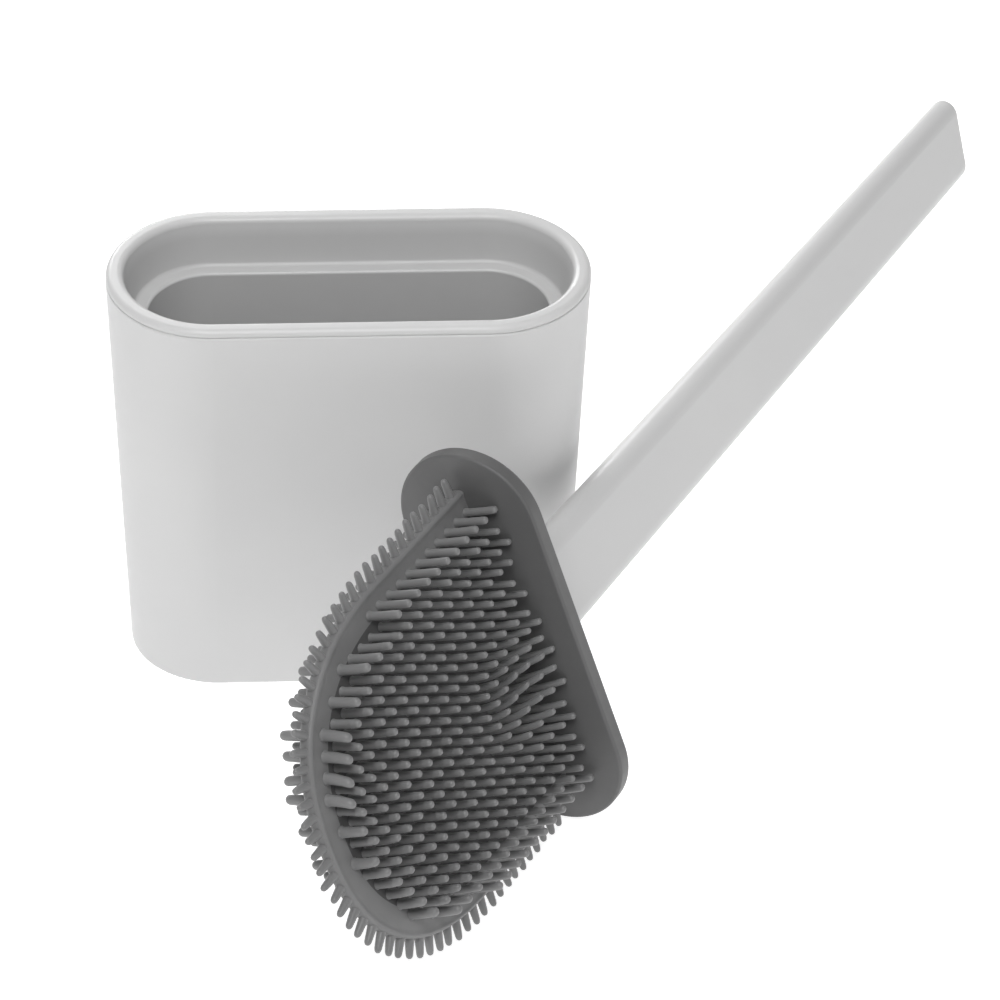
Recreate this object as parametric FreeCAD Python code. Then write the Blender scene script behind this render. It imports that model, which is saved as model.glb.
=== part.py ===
import FreeCAD, Part
import math
import os

# Toilet brush and its holder. Millimetres, +Z up.
# The origin is the middle of the holder's foot, on the floor, with +X along the holder's
# long side and -Y towards the front. The brush lies beside the holder on the same floor.

# ---------------------------------------------------------------- holder: outer shell
HOLDER_LENGTH = 135.0        # along X, at the rim
HOLDER_DEPTH = 59.2          # along Y, at the rim
SHELL_TOP = 125.9            # height of the shell's rim above the floor
SHELL_DRAFT = 4.2            # how much the shell narrows all round from rim to foot
SHELL_WALL = 2.2
SHELL_FLOOR = 2.2
SHELL_RIM_ROUND = 0.7        # rounding of the shell's outer rim
SHELL_FOOT_ROUND = 0.4
SHELL_INNER_ROUND = 3.0      # where the inside wall meets the inside floor

# ---------------------------------------------------------------- holder: anti-slip pad
PAD_STAND_OFF = 0.5          # how far the pad holds the shell above the floor
PAD_SEAT_DEPTH = 0.8         # depth of the seat in the shell's underside
PAD_SEAT_CLEARANCE = 0.2
PAD_MARGIN = 6.0             # bare rim of the shell's foot around the pad

# ---------------------------------------------------------------- holder: lift-out liner
LIP_INSET = 0.05             # lip's outer face behind the shell's outer face
LIP_WIDTH = 4.8
LIP_HEIGHT = 2.3
LIP_ROUND = 1.9              # the lip's inner edge
LIP_FLAT = 0.05              # plain band between the two rounds of the lip's outer face
LIP_UNDER_ROUND = 0.6
SKIRT_CLEARANCE = 0.5        # between the liner's upper wall and the shell
RECESS_DEPTH = 14.2          # from the top of the lip down to the ledge
RECESS_DRAFT = 2.5
RECESS_ROUND = 1.2
LEDGE_WIDTH = 4.1            # the shelf that the brush's flange rests on
LEDGE_EDGE_ROUND = 0.8
POCKET_DRAFT = 1.5
POCKET_FLOOR_ROUND = 4.0
LINER_WALL = 1.7
LINER_STEP_ROUND = 1.0       # outside of the liner, under the ledge
LINER_NECK_ROUND = 0.4       # outside of the liner, where the pocket leaves the ledge
LINER_GAP_BELOW = 1.5        # between the liner's floor and the shell's floor
DRAIN_SLOTS = 5
DRAIN_SLOT_WIDTH = 3.0
DRAIN_SLOT_LENGTH = 12.0
DRAIN_SLOT_PITCH = 16.0

# ---------------------------------------------------------------- brush: flange
FLANGE_SIDE_CLEARANCE = 0.95 # between the flange's edge and the foot of the recess
FLANGE_END_PLAY = 1.3        # what its straight sides lack of the holder's
FLANGE_THICKNESS = 4.9
FLANGE_ROUND = 0.8
INSERT_MARGIN = 6.0          # soft rim around the rigid insert inside the flange
INSERT_THICKNESS = 2.1
INSERT_SKIN = 1.4            # soft layer below the insert

# ---------------------------------------------------------------- brush: blade
BLADE_SIDE_CLEARANCE = 7.1   # between the blade's side and the pocket's end, for the bristles
BLADE_OFFSET = 1.2           # blade's middle along the flange from the flange's middle
BLADE_TIP_CLEARANCE = 3.5    # between the blade's tip and the liner's floor
BLADE_THICKNESS = 4.0
BLADE_TIP_HEIGHT = 56.5      # the curved part, below the parallel sides
BLADE_TIP_POWER = 2.3        # 2 is an ellipse, more is squarer
BLADE_EDGE_ROUND = 1.2
PADDLE_MARGIN = 9.0          # soft rim around the rigid paddle inside the blade
PADDLE_THICKNESS = 1.6

# ---------------------------------------------------------------- brush: bristles
BRISTLE_LENGTH = 10.4
BRISTLE_LENGTH_AT_TIP = 8.2  # the bristles get shorter towards the blade's tip
BRISTLE_SHORTER_BELOW = 62.0 # from here on, below the flange
BRISTLE_ROOT_DIAMETER = 2.2
BRISTLE_TIP_DIAMETER = 1.9
BRISTLE_PITCH = 5.38         # along a row, in the direction of the handle
BRISTLE_ROW_PITCH = 5.08
BRISTLE_ROW_SHIFT = 2.85     # each row starts this much nearer the handle
BRISTLE_FIRST = 1.9          # first root of the first row, below the flange
BRISTLE_MARGIN = 6.0         # bare rim between the blade's side and the first row of roots
BRISTLE_TIP_MARGIN = 5.4     # the same round the tip and at the last row
BRISTLE_TOP_MARGIN = 1.4     # the same under the flange
EDGE_BRISTLE_LENGTH = 5.6
EDGE_BRISTLE_PITCH = 4.4
EDGE_BRISTLE_START = 3.5     # first root below the flange

# ---------------------------------------------------------------- brush: handle
HANDLE_LENGTH = 291.5        # from the flange's top to the end
HANDLE_OFFSET = -2.2         # handle's middle along the flange from the flange's middle
HANDLE_ROOT_WIDTH = 29.6
HANDLE_END_WIDTH = 24.6
HANDLE_ROOT_THICKNESS = 10.4
HANDLE_END_THICKNESS = 9.4
HANDLE_WALL = 2.2
HANDLE_END_WALL = 3.0
HANDLE_END_SLANT = 14.0      # degrees
HANDLE_END_ROUND = 1.2
TENON_LENGTH = 38.0          # rigid tongue of the head that the handle pushes onto
TENON_CLEARANCE = 0.05
PIN_DIAMETER = 3.0
PIN_HEIGHT = 20.0            # above the flange
PIN_BITE = 3.6               # depth of the pin in the tenon

# ---------------------------------------------------------------- brush: where it lies
BRUSH_HEADING = 59.1         # degrees from +X to the handle, seen from above
BRUSH_ASIDE = 13.4           # from the holder's rounded end to the handle's middle line
BRUSH_BACK = 62.8            # from the middle of that end back to the flange's lower face
BRUSH_RISE = -1.8            # degrees by which the handle rises from level
BRUSH_ROLL = -22.8           # degrees about the handle's own axis
BRUSH_FLOOR_GAP = 0.1        # under the flange's lowest point

# ---------------------------------------------------------------- worked-out sizes
HOLDER_STRAIGHT = HOLDER_LENGTH - HOLDER_DEPTH
RIM_RADIUS = HOLDER_DEPTH / 2.0
FOOT_RADIUS = RIM_RADIUS - SHELL_DRAFT
SHELL_FOOT = PAD_STAND_OFF
SHELL_FLOOR_TOP = SHELL_FOOT + SHELL_FLOOR
LIP_TOP = SHELL_TOP + LIP_HEIGHT
LEDGE_TOP = LIP_TOP - RECESS_DEPTH
RECESS_TOP_RADIUS = RIM_RADIUS - LIP_WIDTH
RECESS_FOOT_RADIUS = RECESS_TOP_RADIUS - RECESS_DRAFT
POCKET_TOP_RADIUS = RECESS_FOOT_RADIUS - LEDGE_WIDTH
POCKET_FLOOR_RADIUS = POCKET_TOP_RADIUS - POCKET_DRAFT
LINER_FOOT = SHELL_FLOOR_TOP + LINER_GAP_BELOW
LINER_FLOOR_TOP = LINER_FOOT + LINER_WALL
FLANGE_STRAIGHT = HOLDER_STRAIGHT - FLANGE_END_PLAY
FLANGE_RADIUS = RECESS_FOOT_RADIUS - FLANGE_SIDE_CLEARANCE
BLADE_WIDTH = HOLDER_STRAIGHT + 2 * POCKET_TOP_RADIUS - 2 * BLADE_SIDE_CLEARANCE
BLADE_LENGTH = LEDGE_TOP - LINER_FLOOR_TOP - BLADE_TIP_CLEARANCE
BLADE_STRAIGHT = BLADE_LENGTH - BLADE_TIP_HEIGHT

ORIGIN = FreeCAD.Vector(0, 0, 0)
UP = FreeCAD.Vector(0, 0, 1)


# ---------------------------------------------------------------- shape helpers
def rounded_wire(corners):
    """Closed wire in the plane X = 0 through (y, z, radius) corners, each one rounded."""
    edges = []
    count = len(corners)
    starts = []
    ends = []
    middles = []
    for i in range(count):
        y, z, radius = corners[i]
        before = corners[i - 1]
        after = corners[(i + 1) % count]
        here = FreeCAD.Vector(0, y, z)
        back = FreeCAD.Vector(0, before[0], before[1]) - here
        on = FreeCAD.Vector(0, after[0], after[1]) - here
        back.normalize()
        on.normalize()
        if radius == 0:
            starts.append(here)
            ends.append(here)
            middles.append(None)
            continue
        half = back.getAngle(on) / 2.0
        reach = radius / math.tan(half)
        inward = back + on
        inward.normalize()
        centre = here + inward * (radius / math.sin(half))
        starts.append(here + back * reach)
        ends.append(here + on * reach)
        middles.append(centre - inward * radius)
    for i in range(count):
        if middles[i] is not None:
            edges.append(Part.Arc(starts[i], middles[i], ends[i]).toShape())
        following = starts[(i + 1) % count]
        if ends[i].distanceToPoint(following) > 1e-6:
            edges.append(Part.makeLine(ends[i], following))
    return Part.Wire(edges)


def obround_body(corners, straight):
    """Solid with an obround plan: the half section goes round both ends and along both sides."""
    section = Part.Face(rounded_wire(corners))
    right_end = section.revolve(ORIGIN, UP, -180)
    left_end = section.revolve(ORIGIN, UP, 180)
    right_end.translate(FreeCAD.Vector(straight / 2.0, 0, 0))
    left_end.translate(FreeCAD.Vector(-straight / 2.0, 0, 0))
    back_side = section.extrude(FreeCAD.Vector(straight, 0, 0))
    back_side.translate(FreeCAD.Vector(-straight / 2.0, 0, 0))
    front_side = back_side.mirror(ORIGIN, FreeCAD.Vector(0, 1, 0))
    return right_end.fuse([left_end, back_side, front_side]).removeSplitter()


def stadium_wire(width, thickness, z, offset):
    """Closed wire of a flat bar with fully round edges, width along X, at height z."""
    radius = thickness / 2.0
    half = width / 2.0 - radius
    left = offset - half
    right = offset + half
    front_left = FreeCAD.Vector(left, -radius, z)
    front_right = FreeCAD.Vector(right, -radius, z)
    back_right = FreeCAD.Vector(right, radius, z)
    back_left = FreeCAD.Vector(left, radius, z)
    return Part.Wire([
        Part.makeLine(front_left, front_right),
        Part.Arc(front_right, FreeCAD.Vector(right + radius, 0, z), back_right).toShape(),
        Part.makeLine(back_right, back_left),
        Part.Arc(back_left, FreeCAD.Vector(left - radius, 0, z), front_left).toShape(),
    ])


def tapered_bar(root, end, root_z, end_z, offset):
    """Solid bar between two (width, thickness) sections."""
    lower = stadium_wire(root[0], root[1], root_z, offset)
    upper = stadium_wire(end[0], end[1], end_z, offset)
    return Part.makeLoft([lower, upper], True, True)


def blade_half_width(depth, margin):
    """Half width of the blade's outline, pulled in by margin, at a depth below the flange."""
    half = BLADE_WIDTH / 2.0 - margin
    tip = BLADE_LENGTH - margin - BLADE_STRAIGHT
    along = depth - BLADE_STRAIGHT
    if along <= 0:
        return half
    if along >= tip:
        return 0.0
    return half * (1.0 - (along / tip) ** BLADE_TIP_POWER) ** (1.0 / BLADE_TIP_POWER)


def tip_point(turn, margin):
    """Point of the blade's tip curve; turn runs from -90 to 90 degrees across the tip."""
    half = BLADE_WIDTH / 2.0 - margin
    tip = BLADE_LENGTH - margin - BLADE_STRAIGHT
    angle = math.radians(turn)
    power = 2.0 / BLADE_TIP_POWER
    x = math.copysign(half * abs(math.sin(angle)) ** power, turn)
    depth = BLADE_STRAIGHT + tip * abs(math.cos(angle)) ** power
    return FreeCAD.Vector(x, 0, -depth)


def blade_outline(margin, start):
    """Edges of the blade's outline: down one side from depth start, round the tip and up."""
    half = BLADE_WIDTH / 2.0 - margin
    steps = 24
    points = [tip_point(-90.0 + 180.0 * i / steps, margin) for i in range(steps + 1)]
    points[0] = FreeCAD.Vector(-half, 0, -BLADE_STRAIGHT)
    points[-1] = FreeCAD.Vector(half, 0, -BLADE_STRAIGHT)
    tip = Part.BSplineCurve()
    tip.interpolate(Points=points, InitialTangent=-UP, FinalTangent=UP)
    return [
        Part.makeLine(FreeCAD.Vector(-half, 0, -start), points[0]),
        tip.toShape(),
        Part.makeLine(points[-1], FreeCAD.Vector(half, 0, -start)),
    ]


def blade_slab(margin, thickness):
    """Blade-shaped slab in its place, with its top in the flange's lower face."""
    half = BLADE_WIDTH / 2.0 - margin
    top = Part.makeLine(FreeCAD.Vector(half, 0, 0), FreeCAD.Vector(-half, 0, 0))
    outline = Part.Wire(blade_outline(margin, 0) + [top])
    slab = Part.Face(outline).extrude(FreeCAD.Vector(0, thickness, 0))
    slab.translate(FreeCAD.Vector(BLADE_OFFSET, -thickness / 2.0, 0))
    return slab


def bristle(length):
    """Round tapered pin with a domed tip, standing on the origin along +Z."""
    root = BRISTLE_ROOT_DIAMETER / 2.0
    tip = BRISTLE_TIP_DIAMETER / 2.0
    shoulder = length - tip
    dome = Part.Arc(
        FreeCAD.Vector(tip, 0, shoulder),
        FreeCAD.Vector(tip * math.sqrt(0.5), 0, shoulder + tip * math.sqrt(0.5)),
        FreeCAD.Vector(0, 0, length),
    )
    profile = Part.Wire([
        Part.makeLine(ORIGIN, FreeCAD.Vector(root, 0, 0)),
        Part.makeLine(FreeCAD.Vector(root, 0, 0), FreeCAD.Vector(tip, 0, shoulder)),
        dome.toShape(),
        Part.makeLine(FreeCAD.Vector(0, 0, length), ORIGIN),
    ])
    return Part.Face(profile).revolve(ORIGIN, UP, 360)


def planted(pin, root, direction):
    """Copy of a pin with its foot at root and its tip along direction."""
    copy = pin.copy()
    copy.Placement = FreeCAD.Placement(root, FreeCAD.Rotation(UP, direction))
    return copy


# ---------------------------------------------------------------- holder pieces
def make_holder_shell():
    shell = obround_body([
        (0, SHELL_FOOT, 0),
        (FOOT_RADIUS, SHELL_FOOT, SHELL_FOOT_ROUND),
        (RIM_RADIUS, SHELL_TOP, SHELL_RIM_ROUND),
        (RIM_RADIUS - SHELL_WALL, SHELL_TOP, 0),
        (FOOT_RADIUS - SHELL_WALL, SHELL_FLOOR_TOP, SHELL_INNER_ROUND),
        (0, SHELL_FLOOR_TOP, 0),
    ], HOLDER_STRAIGHT)
    seat_radius = FOOT_RADIUS - PAD_MARGIN + PAD_SEAT_CLEARANCE
    return shell.cut(disc_body(seat_radius, SHELL_FOOT, SHELL_FOOT + PAD_SEAT_DEPTH))


def disc_body(radius, bottom, top):
    """Flat obround with square edges, as long as the holder's straight sides allow."""
    corners = [(0, bottom, 0), (radius, bottom, 0), (radius, top, 0), (0, top, 0)]
    return obround_body(corners, HOLDER_STRAIGHT)


def make_base_pad():
    return disc_body(FOOT_RADIUS - PAD_MARGIN, 0, PAD_STAND_OFF + PAD_SEAT_DEPTH)


def make_liner():
    skirt_radius = RIM_RADIUS - SHELL_WALL - SKIRT_CLEARANCE
    ledge_under = LEDGE_TOP - LINER_WALL
    liner = obround_body([
        (0, LINER_FOOT, 0),
        (POCKET_FLOOR_RADIUS + LINER_WALL, LINER_FOOT, POCKET_FLOOR_ROUND + LINER_WALL),
        (POCKET_TOP_RADIUS + LINER_WALL, ledge_under, LINER_NECK_ROUND),
        (RECESS_FOOT_RADIUS + LINER_WALL, ledge_under, LINER_STEP_ROUND),
        (skirt_radius, SHELL_TOP, 0),
        (RIM_RADIUS - LIP_INSET, SHELL_TOP, LIP_UNDER_ROUND),
        (RIM_RADIUS - LIP_INSET, LIP_TOP, LIP_HEIGHT - LIP_UNDER_ROUND - LIP_FLAT),
        (RECESS_TOP_RADIUS, LIP_TOP, LIP_ROUND),
        (RECESS_FOOT_RADIUS, LEDGE_TOP, RECESS_ROUND),
        (POCKET_TOP_RADIUS, LEDGE_TOP, LEDGE_EDGE_ROUND),
        (POCKET_FLOOR_RADIUS, LINER_FLOOR_TOP, POCKET_FLOOR_ROUND),
        (0, LINER_FLOOR_TOP, 0),
    ], HOLDER_STRAIGHT)
    for i in range(DRAIN_SLOTS):
        x = (i - (DRAIN_SLOTS - 1) / 2.0) * DRAIN_SLOT_PITCH
        liner = liner.cut(drain_slot(x))
    return liner


def drain_slot(x):
    """Tool for one slot through the liner's floor, long way across the holder."""
    radius = DRAIN_SLOT_WIDTH / 2.0
    reach = DRAIN_SLOT_LENGTH / 2.0 - radius
    depth = 3.0 * LINER_WALL
    z = LINER_FOOT - LINER_WALL
    bar = Part.makeBox(2 * radius, 2 * reach, depth, FreeCAD.Vector(x - radius, -reach, z))
    ends = []
    for side in (-1, 1):
        ends.append(Part.makeCylinder(radius, depth, FreeCAD.Vector(x, side * reach, z)))
    return bar.fuse(ends).removeSplitter()


# ---------------------------------------------------------------- brush pieces, handle up
def handle_section(z):
    """Outside (width, thickness) of the handle at height z."""
    share = (z - FLANGE_THICKNESS) / HANDLE_LENGTH
    width = HANDLE_ROOT_WIDTH + share * (HANDLE_END_WIDTH - HANDLE_ROOT_WIDTH)
    thickness = HANDLE_ROOT_THICKNESS + share * (HANDLE_END_THICKNESS - HANDLE_ROOT_THICKNESS)
    return width, thickness


def handle_bar(root_z, end_z, inset):
    """Part of the handle's bar between two heights, its sides moved in by inset."""
    root = handle_section(root_z)
    end = handle_section(end_z)
    root = (root[0] - 2 * inset, root[1] - 2 * inset)
    end = (end[0] - 2 * inset, end[1] - 2 * inset)
    return tapered_bar(root, end, root_z, end_z, HANDLE_OFFSET)


def retaining_pin_tool(radius):
    """The pin's cylinder, from the handle's back face into the tenon."""
    z = FLANGE_THICKNESS + PIN_HEIGHT
    back = handle_section(z)[1] / 2.0
    length = HANDLE_WALL + PIN_BITE
    start = FreeCAD.Vector(HANDLE_OFFSET, back - length, z)
    return Part.makeCylinder(radius, length, start, FreeCAD.Vector(0, 1, 0))


def make_handle():
    middle_end = FLANGE_THICKNESS + HANDLE_LENGTH
    slope = math.tan(math.radians(HANDLE_END_SLANT))
    spare = HANDLE_END_WIDTH * slope
    long_end = middle_end + spare
    outside = handle_bar(FLANGE_THICKNESS, long_end, 0)
    cutter_size = 4 * HANDLE_ROOT_WIDTH
    corner = FreeCAD.Vector(-cutter_size / 2.0, -cutter_size / 2.0, 0)
    cutter = Part.makeBox(cutter_size, cutter_size, cutter_size, corner)
    turn = FreeCAD.Rotation(FreeCAD.Vector(0, 1, 0), HANDLE_END_SLANT)
    cutter.Placement = FreeCAD.Placement(FreeCAD.Vector(HANDLE_OFFSET, 0, middle_end), turn)
    outside = outside.cut(cutter)
    outside = outside.makeFillet(HANDLE_END_ROUND, slanted_end_edges(outside, middle_end, slope))
    inside_top = middle_end - spare / 2.0 - HANDLE_END_WALL
    inside = handle_bar(FLANGE_THICKNESS, inside_top, HANDLE_WALL)
    return outside.cut(inside).cut(retaining_pin_tool(PIN_DIAMETER / 2.0))


def slanted_end_edges(shape, middle_end, slope):
    """Edges of the slanted end face."""
    found = []
    for edge in shape.Edges:
        height_error = 0.0
        for vertex in edge.Vertexes:
            plane = middle_end - slope * (vertex.X - HANDLE_OFFSET)
            height_error = max(height_error, abs(vertex.Z - plane))
        if height_error < 0.01:
            found.append(edge)
    return found


def make_head_core():
    """Rigid skeleton: paddle in the blade, insert in the flange, tenon in the handle."""
    insert_bottom = INSERT_SKIN
    insert_top = INSERT_SKIN + INSERT_THICKNESS
    insert_radius = FLANGE_RADIUS - INSERT_MARGIN
    insert = obround_body([
        (0, insert_bottom, 0),
        (insert_radius, insert_bottom, 0),
        (insert_radius, insert_top, 0),
        (0, insert_top, 0),
    ], FLANGE_STRAIGHT)
    paddle = blade_slab(PADDLE_MARGIN, PADDLE_THICKNESS)
    neck_width = BLADE_WIDTH - 2 * PADDLE_MARGIN - 2 * INSERT_MARGIN
    neck_corner = FreeCAD.Vector(BLADE_OFFSET - neck_width / 2.0, -PADDLE_THICKNESS / 2.0, 0)
    neck = Part.makeBox(neck_width, PADDLE_THICKNESS, insert_top, neck_corner)
    inset = HANDLE_WALL + TENON_CLEARANCE
    tenon = handle_bar(insert_bottom, FLANGE_THICKNESS + TENON_LENGTH, inset)
    core = insert.fuse([paddle, neck, tenon]).removeSplitter()
    return core.cut(retaining_pin_tool(PIN_DIAMETER / 2.0))


def make_lid_flange(head_core):
    flange = obround_body([
        (0, 0, 0),
        (FLANGE_RADIUS, 0, FLANGE_ROUND),
        (FLANGE_RADIUS, FLANGE_THICKNESS, FLANGE_ROUND),
        (0, FLANGE_THICKNESS, 0),
    ], FLANGE_STRAIGHT)
    return flange.cut(head_core)


def blade_outside():
    """The blade's outer form: a slab with rounded edges, square where it meets the flange."""
    slab = blade_slab(0, BLADE_THICKNESS)
    rim = []
    for edge in slab.Edges:
        box = edge.BoundBox
        lies_in_a_face = box.YLength < BLADE_THICKNESS / 2.0
        if lies_in_a_face and box.ZLength > BLADE_STRAIGHT / 2.0:
            rim.append(edge)
    return slab.makeFillet(BLADE_EDGE_ROUND, rim)


def make_blade_pad(head_core):
    return blade_outside().cut(head_core)


def face_bristle_roots():
    """(x, depth) of every root on one face of the blade, x from the blade's middle."""
    roots = []
    first = BRISTLE_MARGIN - BLADE_WIDTH / 2.0
    last = BLADE_WIDTH / 2.0 - BRISTLE_TIP_MARGIN
    rows = int((last - first) / BRISTLE_ROW_PITCH) + 1
    for row in range(rows):
        x = first + row * BRISTLE_ROW_PITCH
        shift = (BRISTLE_FIRST - row * BRISTLE_ROW_SHIFT) % BRISTLE_PITCH
        if shift < BRISTLE_TOP_MARGIN:
            shift += BRISTLE_PITCH
        depth = shift
        while depth < BLADE_LENGTH:
            if abs(x) <= blade_half_width(depth, BRISTLE_TIP_MARGIN):
                roots.append((x, depth))
            depth += BRISTLE_PITCH
    return roots


def bristle_length(depth):
    """Length of a face bristle whose root is at this depth below the flange."""
    share = (depth - BRISTLE_SHORTER_BELOW) / (BLADE_LENGTH - BRISTLE_SHORTER_BELOW)
    return BRISTLE_LENGTH + max(0.0, share) * (BRISTLE_LENGTH_AT_TIP - BRISTLE_LENGTH)


def make_face_bristles(side):
    """Bristles of one face; side is -1 for the front and 1 for the back."""
    out = FreeCAD.Vector(0, side, 0)
    pins = []
    for x, depth in face_bristle_roots():
        root = FreeCAD.Vector(BLADE_OFFSET + x, side * BLADE_THICKNESS / 2.0, -depth)
        pins.append(planted(bristle(bristle_length(depth)), root, out))
    return Part.makeCompound(pins)


def make_edge_bristles():
    """One row of bristles that stand out of the middle of the blade's rim, square to it."""
    pin = bristle(EDGE_BRISTLE_LENGTH)
    middle = FreeCAD.Vector(0, 0, -BLADE_STRAIGHT)
    rim = Part.Wire(blade_outline(0, EDGE_BRISTLE_START))
    count = int(round(rim.Length / EDGE_BRISTLE_PITCH))
    roots = rim.discretize(Number=count + 1)
    pins = []
    for i in range(count + 1):
        along = roots[min(i + 1, count)] - roots[max(i - 1, 0)]
        out = FreeCAD.Vector(along.z, 0, -along.x)
        if out.dot(roots[i] - middle) < 0:
            out = -out
        pins.append(planted(pin, roots[i] + FreeCAD.Vector(BLADE_OFFSET, 0, 0), out))
    return Part.makeCompound(pins)


# ---------------------------------------------------------------- build and export
def flange_place():
    """Where the middle of the flange's lower face lies on the floor plan."""
    heading = math.radians(BRUSH_HEADING)
    ahead = FreeCAD.Vector(math.cos(heading), math.sin(heading), 0)
    aside = FreeCAD.Vector(math.sin(heading), -math.cos(heading), 0)
    holder_end = FreeCAD.Vector(HOLDER_STRAIGHT / 2.0, 0, 0)
    return holder_end + aside * (RIM_RADIUS + BRUSH_ASIDE) - ahead * BRUSH_BACK


def laid_down(shapes):
    """The brush's pieces turned and set down beside the holder, the flange's end lowest."""
    turn = FreeCAD.Rotation(UP, BRUSH_HEADING)
    tip = FreeCAD.Rotation(FreeCAD.Vector(0, 1, 0), 90.0 - BRUSH_RISE)
    roll = FreeCAD.Rotation(UP, BRUSH_ROLL)
    rotation = turn.multiply(tip).multiply(roll)
    position = flange_place()
    flange = shapes["lid_flange"].copy()
    flange.Placement = FreeCAD.Placement(position, rotation)
    position.z = BRUSH_FLOOR_GAP - flange.optimalBoundingBox(False, False).ZMin
    lifted = FreeCAD.Placement(position, rotation)
    placed = {}
    for name, shape in shapes.items():
        copy = shape.copy()
        copy.Placement = lifted.multiply(copy.Placement)
        placed[name] = copy
    return placed


def main():
    os.makedirs("parts", exist_ok=True)
    head_core = make_head_core()
    brush = {
        "head_core": head_core,
        "lid_flange": make_lid_flange(head_core),
        "blade_pad": make_blade_pad(head_core),
        "front_bristles": make_face_bristles(-1),
        "back_bristles": make_face_bristles(1),
        "edge_bristles": make_edge_bristles(),
        "handle": make_handle(),
        "retaining_pin": retaining_pin_tool(PIN_DIAMETER / 2.0),
    }
    parts = {
        "holder_shell": make_holder_shell(),
        "base_pad": make_base_pad(),
        "liner": make_liner(),
    }
    parts.update(laid_down(brush))
    for name, shape in parts.items():
        shape.exportStep(os.path.join("parts", name + ".step"))
        box = shape.optimalBoundingBox(False, False)
        print(name, "solids", len(shape.Solids), "valid", shape.isValid(),
              "volume", round(shape.Volume, 1), "z", round(box.ZMin, 2), round(box.ZMax, 2))


main()
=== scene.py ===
import bpy
import bmesh
import math
import random
from mathutils import Matrix, Vector


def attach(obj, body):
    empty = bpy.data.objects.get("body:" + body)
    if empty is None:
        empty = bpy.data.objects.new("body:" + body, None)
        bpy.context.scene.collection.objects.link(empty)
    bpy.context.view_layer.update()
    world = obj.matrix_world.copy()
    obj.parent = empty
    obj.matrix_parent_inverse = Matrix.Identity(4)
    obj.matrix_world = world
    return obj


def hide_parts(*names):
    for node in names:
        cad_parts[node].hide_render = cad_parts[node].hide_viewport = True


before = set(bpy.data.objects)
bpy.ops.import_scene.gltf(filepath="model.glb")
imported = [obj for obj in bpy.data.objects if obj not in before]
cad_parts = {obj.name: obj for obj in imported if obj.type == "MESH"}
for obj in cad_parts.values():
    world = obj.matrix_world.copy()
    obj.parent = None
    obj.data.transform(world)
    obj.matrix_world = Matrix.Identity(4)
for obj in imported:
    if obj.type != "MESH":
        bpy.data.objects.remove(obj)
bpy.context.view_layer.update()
scene = bpy.context.scene
MM = 0.001

# ------------------------------------------------------------------ sizes, in millimetres
BRUSH_HEADING = 59.1
BRUSH_RISE = -1.8
BRUSH_ROLL = -22.8
BLADE_LENGTH = 104.6
BLADE_WIDTH = 98.0
BLADE_OFFSET = 1.2
BLADE_THICKNESS = 4.0
BLADE_STRAIGHT = 48.1
TIP_POWER = 2.3
PIN_LENGTH = 10.4
PIN_PITCH = 5.38
ROW_PITCH = 5.08
ROW_SHIFT = 2.85
FIRST_PIN = 1.9
PIN_MARGIN = 6.0
PIN_TIP_MARGIN = 5.4
PIN_TOP_MARGIN = 1.4
PIN_THICK = 1.98
PIN_SUNK = 0.12
COLLAR_FROM_TIP = 2.6
RIM_PIN_LENGTH = 5.6
RIM_PIN_PITCH = 4.4
RIM_PIN_START = 3.5
RIM_PIN_THICK = 2.3
RIM_PIN_SUNK = 0.6
LIP_FOOT_M = 0.1255


# ------------------------------------------------------------------ the brush's own frame
def brush_rotation():
    """Turns brush axes (X along the flange, Y backwards, Z along the handle) into the row frame."""
    turn = Matrix.Rotation(math.radians(BRUSH_HEADING), 3, "Z")
    tip = Matrix.Rotation(math.radians(90.0 - BRUSH_RISE), 3, "Y")
    roll = Matrix.Rotation(math.radians(BRUSH_ROLL), 3, "Z")
    return turn @ tip @ roll


ROTATION = brush_rotation()


def flange_middle():
    """Middle of the flange's lower face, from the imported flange."""
    back = ROTATION.transposed()
    points = [back @ v.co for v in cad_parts["lid_flange"].data.vertices]
    low = Vector([min(p[i] for p in points) for i in range(3)])
    high = Vector([max(p[i] for p in points) for i in range(3)])
    return ROTATION @ Vector(((low.x + high.x) / 2, (low.y + high.y) / 2, low.z))


FLANGE = flange_middle()


def out(x, y, z):
    """Brush coordinates in millimetres to the row frame in metres."""
    return FLANGE + ROTATION @ Vector((x * MM, y * MM, z * MM))


# ------------------------------------------------------------------ node helpers
def new_material(name):
    mat = bpy.data.materials.new(name)
    mat.use_nodes = True
    nodes = mat.node_tree.nodes
    return mat, nodes, mat.node_tree.links, nodes["Principled BSDF"]


def noise_node(nodes, links, coord, scale, detail=3.0, rough=0.55):
    n = nodes.new("ShaderNodeTexNoise")
    n.inputs["Scale"].default_value = scale
    n.inputs["Detail"].default_value = detail
    n.inputs["Roughness"].default_value = rough
    links.new(coord.outputs["Object"], n.inputs["Vector"])
    return n


def ramp(nodes, links, source, stops):
    r = nodes.new("ShaderNodeValToRGB")
    while len(r.color_ramp.elements) < len(stops):
        r.color_ramp.elements.new(0.5)
    for element, (position, colour) in zip(r.color_ramp.elements, stops):
        element.position = position
        element.color = (*colour, 1.0)
    links.new(source, r.inputs["Fac"])
    return r


def span(nodes, links, source, low, high):
    m = nodes.new("ShaderNodeMapRange")
    m.inputs["From Min"].default_value = 0.25
    m.inputs["From Max"].default_value = 0.75
    m.inputs["To Min"].default_value = low
    m.inputs["To Max"].default_value = high
    links.new(source, m.inputs["Value"])
    return m


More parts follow.
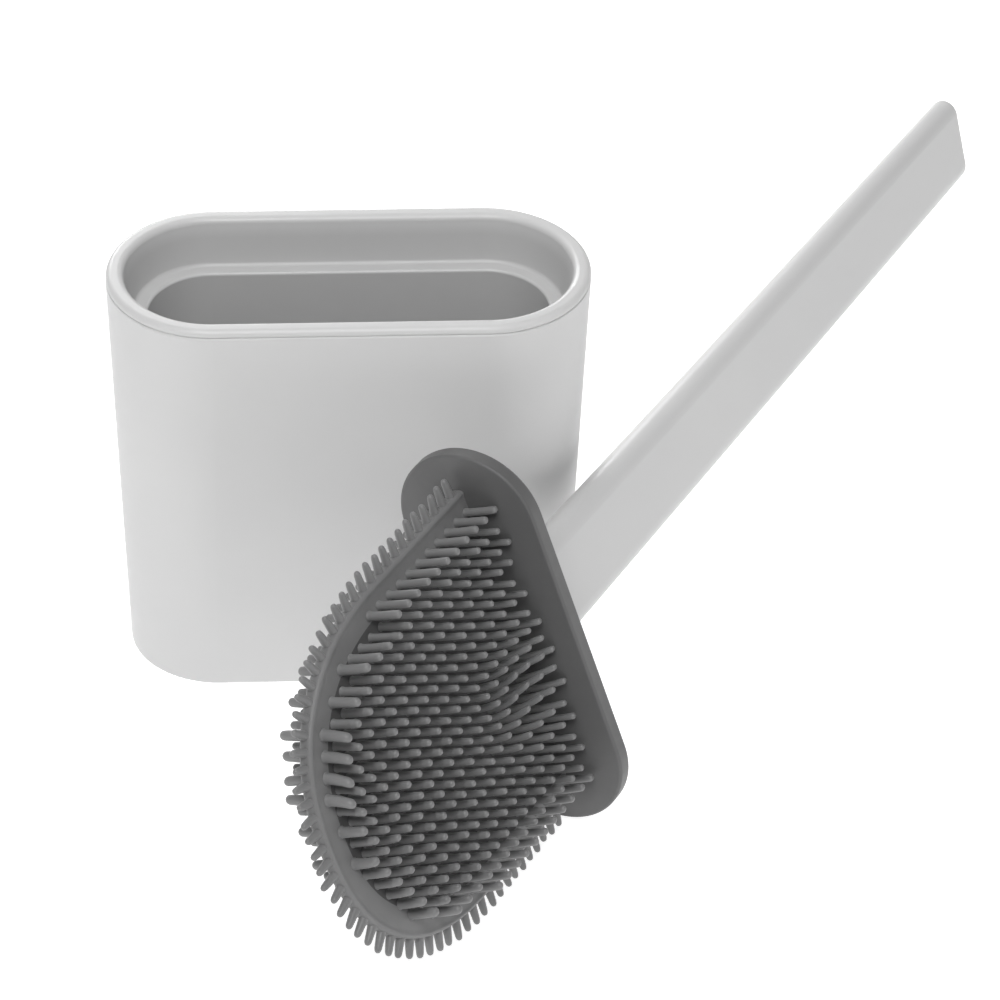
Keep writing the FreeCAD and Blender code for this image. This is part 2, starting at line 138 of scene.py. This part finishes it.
def bump_chain(nodes, links, bsdf, layers):
    last = None
    for source, strength, distance in layers:
        b = nodes.new("ShaderNodeBump")
        b.inputs["Strength"].default_value = strength
        b.inputs["Distance"].default_value = distance
        links.new(source, b.inputs["Height"])
        if last is not None:
            links.new(last.outputs["Normal"], b.inputs["Normal"])
        last = b
    links.new(last.outputs["Normal"], bsdf.inputs["Normal"])


def moulded_plastic(name, shade, roughness):
    """Off-white polypropylene: satin, with a faint grain and slow waves."""
    mat, nodes, links, bsdf = new_material(name)
    coord = nodes.new("ShaderNodeTexCoord")
    slow = noise_node(nodes, links, coord, 18.0, 2.0)
    fine = noise_node(nodes, links, coord, 2600.0, 2.0, 0.6)
    mid = noise_node(nodes, links, coord, 240.0, 3.0)
    c = shade
    tint = ramp(nodes, links, slow.outputs["Fac"], [
        (0.30, (c * 0.975, c * 0.975, c * 0.977)), (0.70, (c * 1.01, c * 1.01, c * 1.008))])
    links.new(tint.outputs["Color"], bsdf.inputs["Base Color"])
    rough = span(nodes, links, mid.outputs["Fac"], roughness - 0.04, roughness + 0.05)
    links.new(rough.outputs["Result"], bsdf.inputs["Roughness"])
    bsdf.inputs["IOR"].default_value = 1.49
    bsdf.inputs["Specular IOR Level"].default_value = 0.45
    bsdf.inputs["Subsurface Weight"].default_value = 0.12
    bsdf.inputs["Subsurface Radius"].default_value = (0.004, 0.004, 0.004)
    bsdf.inputs["Subsurface Scale"].default_value = 0.6
    bump_chain(nodes, links, bsdf, [
        (fine.outputs["Fac"], 0.06, 0.00006), (slow.outputs["Fac"], 0.05, 0.0006)])
    return mat


def soft_rubber(name, shade, roughness, grain=1.0):
    """Grey thermoplastic rubber: matt, slightly dusty, fine mould grain."""
    mat, nodes, links, bsdf = new_material(name)
    coord = nodes.new("ShaderNodeTexCoord")
    slow = noise_node(nodes, links, coord, 45.0, 3.0)
    mid = noise_node(nodes, links, coord, 420.0, 3.0)
    fine = noise_node(nodes, links, coord, 3200.0, 2.0, 0.6)
    c = shade
    tint = ramp(nodes, links, slow.outputs["Fac"], [
        (0.28, (c * 0.93, c * 0.93, c * 0.935)), (0.72, (c * 1.06, c * 1.06, c * 1.065))])
    links.new(tint.outputs["Color"], bsdf.inputs["Base Color"])
    rough = span(nodes, links, mid.outputs["Fac"], roughness - 0.06, roughness + 0.07)
    links.new(rough.outputs["Result"], bsdf.inputs["Roughness"])
    bsdf.inputs["IOR"].default_value = 1.5
    bsdf.inputs["Specular IOR Level"].default_value = 0.4
    bsdf.inputs["Sheen Weight"].default_value = 0.08
    bsdf.inputs["Sheen Roughness"].default_value = 0.5
    bump_chain(nodes, links, bsdf, [
        (fine.outputs["Fac"], 0.10 * grain, 0.0001), (mid.outputs["Fac"], 0.06 * grain, 0.0002)])
    return mat


def paint_shade_below(mat, top, depth, share):
    """Paints shade into a material: darker below a height, by share, over a band of the given depth.
    """
    nodes, links = mat.node_tree.nodes, mat.node_tree.links
    bsdf = nodes["Principled BSDF"]
    tint = bsdf.inputs["Base Color"].links[0].from_socket
    coord = nodes.new("ShaderNodeTexCoord")
    split = nodes.new("ShaderNodeSeparateXYZ")
    links.new(coord.outputs["Object"], split.inputs["Vector"])
    level = nodes.new("ShaderNodeMapRange")
    level.inputs["From Min"].default_value = top - depth
    level.inputs["From Max"].default_value = top
    level.inputs["To Min"].default_value = share
    level.inputs["To Max"].default_value = 1.0
    links.new(split.outputs["Z"], level.inputs["Value"])
    scale = nodes.new("ShaderNodeVectorMath")
    scale.operation = "SCALE"
    links.new(tint, scale.inputs[0])
    links.new(level.outputs["Result"], scale.inputs["Scale"])
    links.new(scale.outputs["Vector"], bsdf.inputs["Base Color"])


SHELL = moulded_plastic("shell_plastic_look", 0.60, 0.40)
LINER = moulded_plastic("liner_plastic_look", 0.585, 0.36)
# painted shade: the liner's colour falls to 0.88 below the lip's foot, darkening the recess walls,
# ledge and pocket
paint_shade_below(LINER, LIP_FOOT_M, 0.003, 0.88)
HANDLE = moulded_plastic("handle_plastic_look", 0.60, 0.36)
CORE = moulded_plastic("core_plastic_look", 0.30, 0.5)
FLANGE_RUBBER = soft_rubber("flange_rubber_look", 0.112, 0.50)
BLADE_RUBBER = soft_rubber("blade_rubber_look", 0.170, 0.50)
# painted shade: the bed among the bristles gets a far darker grey than the blade's own rubber,
# standing in for the shade between the pins
PAINTED_SHADE_BED = soft_rubber("bristle_bed_painted_shade_look", 0.060, 0.60)
PIN_RUBBER = soft_rubber("bristle_rubber_look", 0.185, 0.42)
FOAM = soft_rubber("foam_look", 0.05, 0.85, 4.0)


def brushed_steel():
    mat, nodes, links, bsdf = new_material("pin_steel_look")
    coord = nodes.new("ShaderNodeTexCoord")
    grain = noise_node(nodes, links, coord, 3000.0, 2.0)
    bsdf.inputs["Metallic"].default_value = 1.0
    tint = ramp(nodes, links, grain.outputs["Fac"], [
        (0.3, (0.52, 0.52, 0.53)), (0.7, (0.66, 0.66, 0.67))])
    links.new(tint.outputs["Color"], bsdf.inputs["Base Color"])
    rough = span(nodes, links, grain.outputs["Fac"], 0.28, 0.42)
    links.new(rough.outputs["Result"], bsdf.inputs["Roughness"])
    bump_chain(nodes, links, bsdf, [(grain.outputs["Fac"], 0.1, 0.00005)])
    return mat


def dress(node, material):
    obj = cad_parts[node]
    obj.data.materials.clear()
    obj.data.materials.append(material)


dress("holder_shell", SHELL)
dress("liner", LINER)
dress("handle", HANDLE)
dress("head_core", CORE)
dress("base_pad", FOAM)
dress("lid_flange", FLANGE_RUBBER)
dress("retaining_pin", brushed_steel())


# ------------------------------------------------------------------ blade
def outline_point(t, inset):
    """Blade outline pulled in by inset; t from 0 at one end of the flange side to 1 at the other."""
    half = BLADE_WIDTH / 2 - inset
    tip = BLADE_LENGTH - inset - BLADE_STRAIGHT
    sides = 0.26
    if t < sides:
        return -half, BLADE_STRAIGHT * t / sides
    if t > 1 - sides:
        return half, BLADE_STRAIGHT * (1 - t) / sides
    turn = math.radians(-90 + 180 * (t - sides) / (1 - 2 * sides))
    power = 2 / TIP_POWER
    x = math.copysign(half * abs(math.sin(turn)) ** power, turn)
    return x, BLADE_STRAIGHT + tip * abs(math.cos(turn)) ** power


def half_width(depth, inset):
    half = BLADE_WIDTH / 2 - inset
    tip = BLADE_LENGTH - inset - BLADE_STRAIGHT
    along = depth - BLADE_STRAIGHT
    if along <= 0:
        return half
    if along >= tip:
        return 0.0
    return half * (1 - (along / tip) ** TIP_POWER) ** (1 / TIP_POWER)


def make_blade():
    """Slab with a slight bead along its rim and a shallow dished margin inside the bead."""
    top = BLADE_THICKNESS / 2
    profile = [(0.0, 0.0), (0.0, top - 1.25), (0.10, top - 0.75), (0.33, top - 0.32),
               (0.70, top - 0.04), (1.05, top + 0.05), (1.40, top - 0.02), (1.75, top - 0.14),
               (2.6, top - 0.22), (4.4, top - 0.22), (6.4, top - 0.16), (7.6, top - 0.12)]
    rings = [(d, -h) for d, h in reversed(profile)] + profile[1:]
    count = 160
    bm = bmesh.new()
    grid = []
    for inset, height in rings:
        line = []
        for i in range(count + 1):
            x, depth = outline_point(i / count, inset)
            line.append(bm.verts.new(out(BLADE_OFFSET + x, height, -depth)))
        grid.append(line)
    for r in range(len(grid) - 1):
        for i in range(count):
            bm.faces.new((grid[r][i], grid[r][i + 1], grid[r + 1][i + 1], grid[r + 1][i]))
    for line in (grid[0], grid[-1]):
        # slot 1 on the two flat faces inside the margin is the darker painted-shade bed
        bm.faces.new(line).material_index = 1
    bmesh.ops.triangulate(bm, faces=[f for f in bm.faces if len(f.verts) > 4])
    bmesh.ops.recalc_face_normals(bm, faces=bm.faces)
    blade = finish_mesh(bm, "blade", BLADE_RUBBER)
    blade.data.materials.append(PAINTED_SHADE_BED)
    return blade


def finish_mesh(bm, name, material):
    mesh = bpy.data.meshes.new(name)
    bm.to_mesh(mesh)
    bm.free()
    for polygon in mesh.polygons:
        polygon.use_smooth = True
    mesh.materials.append(material)
    obj = bpy.data.objects.new(name, mesh)
    scene.collection.objects.link(obj)
    return obj


# ------------------------------------------------------------------ bristles
def smooth(a, b, x):
    t = min(1.0, max(0.0, (x - a) / (b - a)))
    return t * t * (3 - 2 * t)


def add_pin(bm, root, aim, lean, length, r_root, r_tip, collar=0.0, sides=12):
    """Soft pin from root along aim, its tip carried off by lean; all in brush millimetres."""
    side = aim.orthogonal().normalized()
    other = aim.cross(side)
    stations = [(-0.04, 1.0), (0.0, 1.16), (0.035, 1.05), (0.09, 1.0)]
    stations += [(0.09 + 0.71 * i / 6, 1.0) for i in range(1, 7)]
    tip_share = r_tip / length
    dome = [(1 - tip_share * (1 - math.sin(math.radians(a))), math.cos(math.radians(a)))
            for a in (12, 32, 52, 70, 83)]
    rings = []

    def centre(s):
        return root + aim * (length * s) + lean * (s * s * (1.5 - 0.5 * s))

    for s, swell in stations:
        radius = (r_root + (r_tip - r_root) * max(0.0, s)) * swell
        rings.append((centre(s), radius))
    if collar > 0:
        at = 1 - COLLAR_FROM_TIP / length
        rings = [r for r, (s, _) in zip(rings, stations) if s < at - 0.09]
        base = r_root + (r_tip - r_root) * at
        for offset, swell in ((-0.06, 1.0), (-0.025, 1.0 + collar), (0.0, 1.0 + 1.15 * collar),
                              (0.02, 1.0), (0.07, 0.97)):
            rings.append((centre(at + offset), base * swell))
    for s, swell in dome:
        rings.append((centre(s), r_tip * swell))
    loops = []
    for middle, radius in rings:
        loop = []
        for k in range(sides):
            angle = 2 * math.pi * k / sides
            p = middle + (side * math.cos(angle) + other * math.sin(angle)) * radius
            loop.append(bm.verts.new(out(*p)))
        loops.append(loop)
    for lower, upper in zip(loops, loops[1:]):
        for k in range(sides):
            n = (k + 1) % sides
            bm.faces.new((lower[k], lower[n], upper[n], upper[k]))
    last = bm.verts.new(out(*centre(1.0)))
    for k in range(sides):
        bm.faces.new((loops[-1][k], loops[-1][(k + 1) % sides], last))
    bm.faces.new(list(reversed(loops[0])))


def face_roots():
    roots = []
    first = PIN_MARGIN - BLADE_WIDTH / 2
    last = BLADE_WIDTH / 2 - PIN_TIP_MARGIN
    for row in range(int((last - first) / ROW_PITCH) + 1):
        x = first + row * ROW_PITCH
        depth = (FIRST_PIN - row * ROW_SHIFT) % PIN_PITCH
        if depth < PIN_TOP_MARGIN:
            depth += PIN_PITCH
        while depth < BLADE_LENGTH:
            if abs(x) <= half_width(depth, PIN_TIP_MARGIN):
                roots.append((x, depth))
            depth += PIN_PITCH
    return roots


def rim_gap(x, depth):
    """Roughly how far a root lies inside the outline, sides and tip only."""
    gap = 0.0
    while gap < 40 and abs(x) <= half_width(depth, gap):
        gap += 0.5
    return gap


def make_face_pins(side, name, seed):
    """side -1 is the front face, which looks at the camera, and 1 the back face."""
    rng = random.Random(seed)
    bm = bmesh.new()
    face = side * (BLADE_THICKNESS / 2 - PIN_SUNK)
    for x, depth in face_roots():
        gap = rim_gap(x, depth)
        near_rim = 1 - smooth(PIN_MARGIN, PIN_MARGIN + 5.5, gap)
        near_tip = smooth(35, 92, depth)
        thick = PIN_THICK + 0.45 * near_tip + 0.30 * near_rim + 0.35 * near_rim * near_tip
        length = PIN_LENGTH - (2.2 if side < 0 else 0.6) * smooth(62, 98, depth)
        swirl = math.exp(-(((x - 6) / 13) ** 2 + ((depth - 17) / 14) ** 2))
        lean = Vector((-0.35 - 3.9 * swirl, 0, 0.1 + 1.0 * swirl))
        reach = math.exp(-((x - 4) / 26) ** 2) * (1 - smooth(4, 22, depth))
        length += 2.2 * reach
        lean += Vector((0, 0, 1.2 * reach))
        low = smooth(15, 45, x) * (1 - smooth(30, 70, depth))
        lean += Vector((-0.9 * low, 0, -0.9 * low))
        lean += Vector((2.2 * smooth(80, 100, depth) * smooth(8, -20, x), 0, 0))
        lean += Vector((-0.7 * smooth(30, 75, depth) * smooth(-25, 25, x), 0, 0))
        lean += Vector((rng.uniform(-0.25, 0.25), 0, rng.uniform(-0.25, 0.25)))
        if side > 0:
            lean = Vector((rng.uniform(-0.5, 0.5), 0, rng.uniform(-0.5, 0.5)))
        lean.z = min(lean.z, depth - 1.3)
        aim = Vector((0, side, 0))
        collar = 0.0
        if near_tip > 0.15 and gap > PIN_MARGIN + 3:
            collar = 0.05 * rng.uniform(0.4, 1.0)
        root = Vector((BLADE_OFFSET + x, face, -depth))
        add_pin(bm, root, aim, lean, length * rng.uniform(0.985, 1.015),
                thick / 2 * 1.05, thick / 2 * (0.95 - 0.06 * near_tip), collar)
    bmesh.ops.recalc_face_normals(bm, faces=bm.faces)
    return finish_mesh(bm, name, PIN_RUBBER)


def rim_path(start):
    """Evenly spaced (x, depth, outward x, outward depth, travelled) along the blade's rim."""
    steps = 4000
    last = None
    travelled = 0.0
    points = []
    for i in range(steps + 1):
        x, depth = outline_point(i / steps, 0.0)
        if depth < start:
            continue
        if last is not None:
            dx, dd = x - last[0], depth - last[1]
            length = math.hypot(dx, dd)
            if length < 1e-9:
                continue
            travelled += length
            points.append((x, depth, -dd / length, dx / length, travelled))
        last = (x, depth)
    return points


def make_rim_pins():
    """One row of pins round the rim, each square to the outline, with a little splay."""
    rng = random.Random(11)
    bm = bmesh.new()
    following = 0.0
    for x, depth, nx, nd, travelled in rim_path(RIM_PIN_START):
        if travelled < following:
            continue
        following += RIM_PIN_PITCH
        near_tip = smooth(40, 95, depth)
        outward = Vector((nx, 0, -nd))
        splay = rng.uniform(-0.05, 0.05)
        aim = (outward + Vector((0, splay, 0))).normalized()
        root = Vector((BLADE_OFFSET + x, 0.0, -depth)) - outward * RIM_PIN_SUNK
        lean = Vector((rng.uniform(-0.3, 0.3), rng.uniform(-0.3, 0.3), rng.uniform(-0.3, 0.3)))
        thick = RIM_PIN_THICK + 0.1 * near_tip
        length = (RIM_PIN_LENGTH + RIM_PIN_SUNK) * rng.uniform(0.97, 1.02)
        add_pin(bm, root, aim, lean, length, thick / 2 * 1.15, thick / 2 * 0.78)
    bmesh.ops.recalc_face_normals(bm, faces=bm.faces)
    return finish_mesh(bm, "rim_bristles", PIN_RUBBER)


blade = make_blade()
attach(blade, "brush")
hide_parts("blade_pad")
front = make_face_pins(-1, "front_face_bristles", 3)
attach(front, "brush")
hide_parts("front_bristles")
back = make_face_pins(1, "back_face_bristles", 5)
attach(back, "brush")
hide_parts("back_bristles")
rim = make_rim_pins()
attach(rim, "brush")
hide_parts("edge_bristles")


# ------------------------------------------------------------------ floor, light, camera
def make_floor():
    bm = bmesh.new()
    size = 6.0
    corners = [bm.verts.new((x, y, -0.0002)) for x, y in
               ((-size, -size), (size, -size), (size, size), (-size, size))]
    bm.faces.new(corners)
    mat, nodes, links, bsdf = new_material("floor_look")
    bsdf.inputs["Base Color"].default_value = (0.60, 0.60, 0.60, 1)
    bsdf.inputs["Roughness"].default_value = 0.8
    bsdf.inputs["Specular IOR Level"].default_value = 0.1
    bsdf.inputs["Emission Color"].default_value = (1, 1, 1, 1)
    bsdf.inputs["Emission Strength"].default_value = 0.85
    floor = finish_mesh(bm, "floor", mat)


def area_light(name, location, target, size, power):
    data = bpy.data.lights.new(name, "AREA")
    data.shape = "RECTANGLE"
    data.size, data.size_y = size
    data.energy = power
    obj = bpy.data.objects.new(name, data)
    scene.collection.objects.link(obj)
    obj.location = location
    aim = Vector(target) - Vector(location)
    obj.rotation_mode = "QUATERNION"
    obj.rotation_quaternion = aim.to_track_quat("-Z", "Y")


def make_light():
    world = bpy.data.worlds.new("studio")
    scene.world = world
    world.use_nodes = True
    nodes, links = world.node_tree.nodes, world.node_tree.links
    background = nodes["Background"]
    coord = nodes.new("ShaderNodeTexCoord")
    split = nodes.new("ShaderNodeSeparateXYZ")
    links.new(coord.outputs["Generated"], split.inputs["Vector"])
    height = nodes.new("ShaderNodeMapRange")
    height.inputs["From Min"].default_value = -0.6
    height.inputs["From Max"].default_value = 0.9
    height.inputs["To Min"].default_value = 0.18
    height.inputs["To Max"].default_value = 0.32
    links.new(split.outputs["Z"], height.inputs["Value"])
    links.new(height.outputs["Result"], background.inputs["Strength"])
    background.inputs["Color"].default_value = (1, 1, 1, 1)
    area_light("key", (-0.10, -0.80, 1.35), (0.02, 0.0, 0.05), (0.6, 0.6), 13.0)
    area_light("top", (-0.1, 0.25, 1.6), (0.05, 0.0, 0.05), (0.9, 0.9), 4.0)
    area_light("edge", (-0.24, 1.05, 0.55), (0.15, 0.05, 0.05), (0.5, 0.4), 6.0)


def make_camera():
    azimuth, elevation, roll = math.radians(-3.605), math.radians(37.668), math.radians(1.223)
    distance = 1520.73
    lens = 192.23352
    shift_x = -43.037
    shift_y = 14.418
    target = Vector((0, 0, 65.0))
    ahead = Vector((-math.sin(azimuth) * math.cos(elevation),
                    math.cos(azimuth) * math.cos(elevation), -math.sin(elevation)))
    right = Vector((math.cos(azimuth), math.sin(azimuth), 0))
    up = right.cross(ahead)
    right2 = right * math.cos(roll) + up * math.sin(roll)
    up2 = up * math.cos(roll) - right * math.sin(roll)
    place = target - ahead * distance - right2 * shift_x - up2 * shift_y
    data = bpy.data.cameras.new("camera")
    data.sensor_width = 36.0
    data.lens = lens
    data.clip_start, data.clip_end = 0.05, 50.0
    camera = bpy.data.objects.new("camera", data)
    scene.collection.objects.link(camera)
    turn = Matrix((right2, up2, -ahead)).transposed().to_4x4()
    camera.matrix_world = Matrix.Translation(place * MM) @ turn
    scene.camera = camera


make_floor()
make_light()
make_camera()
scene.view_settings.view_transform = "Standard"
